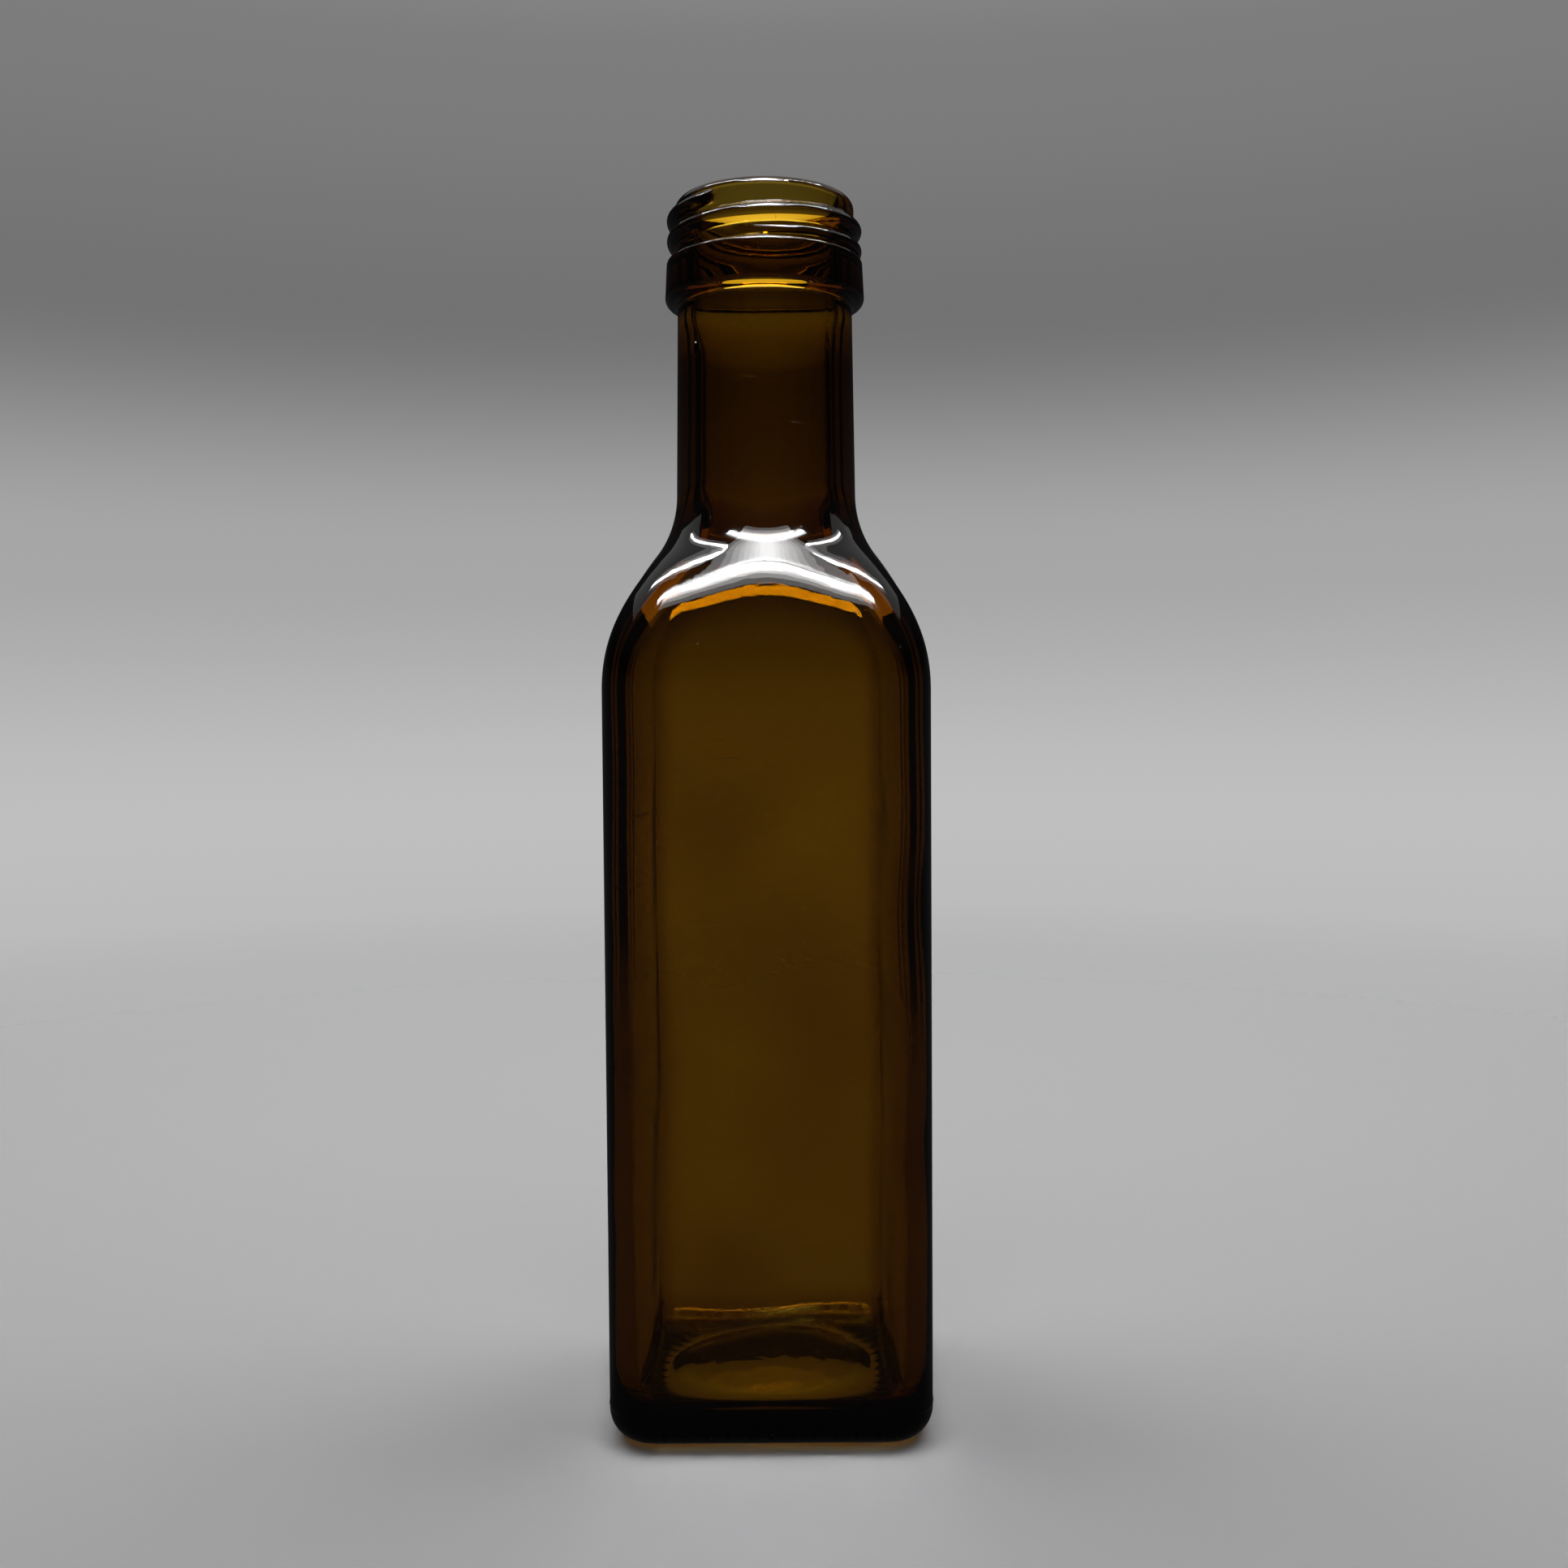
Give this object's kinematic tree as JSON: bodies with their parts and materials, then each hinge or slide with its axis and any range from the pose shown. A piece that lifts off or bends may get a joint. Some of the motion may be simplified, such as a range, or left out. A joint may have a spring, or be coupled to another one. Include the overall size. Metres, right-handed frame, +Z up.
{
  "type": "glass oil bottle",
  "caption": "Square long-necked amber-brown glass bottle for oil, open at its round threaded mouth, with a collar below the thread, a square-to-round shoulder and a pushed-up base.",
  "frame": {"origin": "middle of the base, on the surface that the bottle stands on", "axes": "+Z up along the neck, -Y out of the face that the picture shows, +X to the right of that face"},
  "size_m": [0.0494, 0.0494, 0.191],
  "materials": {
    "amber_glass": "smooth moulded glass, polished"
  },
  "bodies": {
    "root": {"bottle": "amber_glass"}
  },
  "joints": []
}
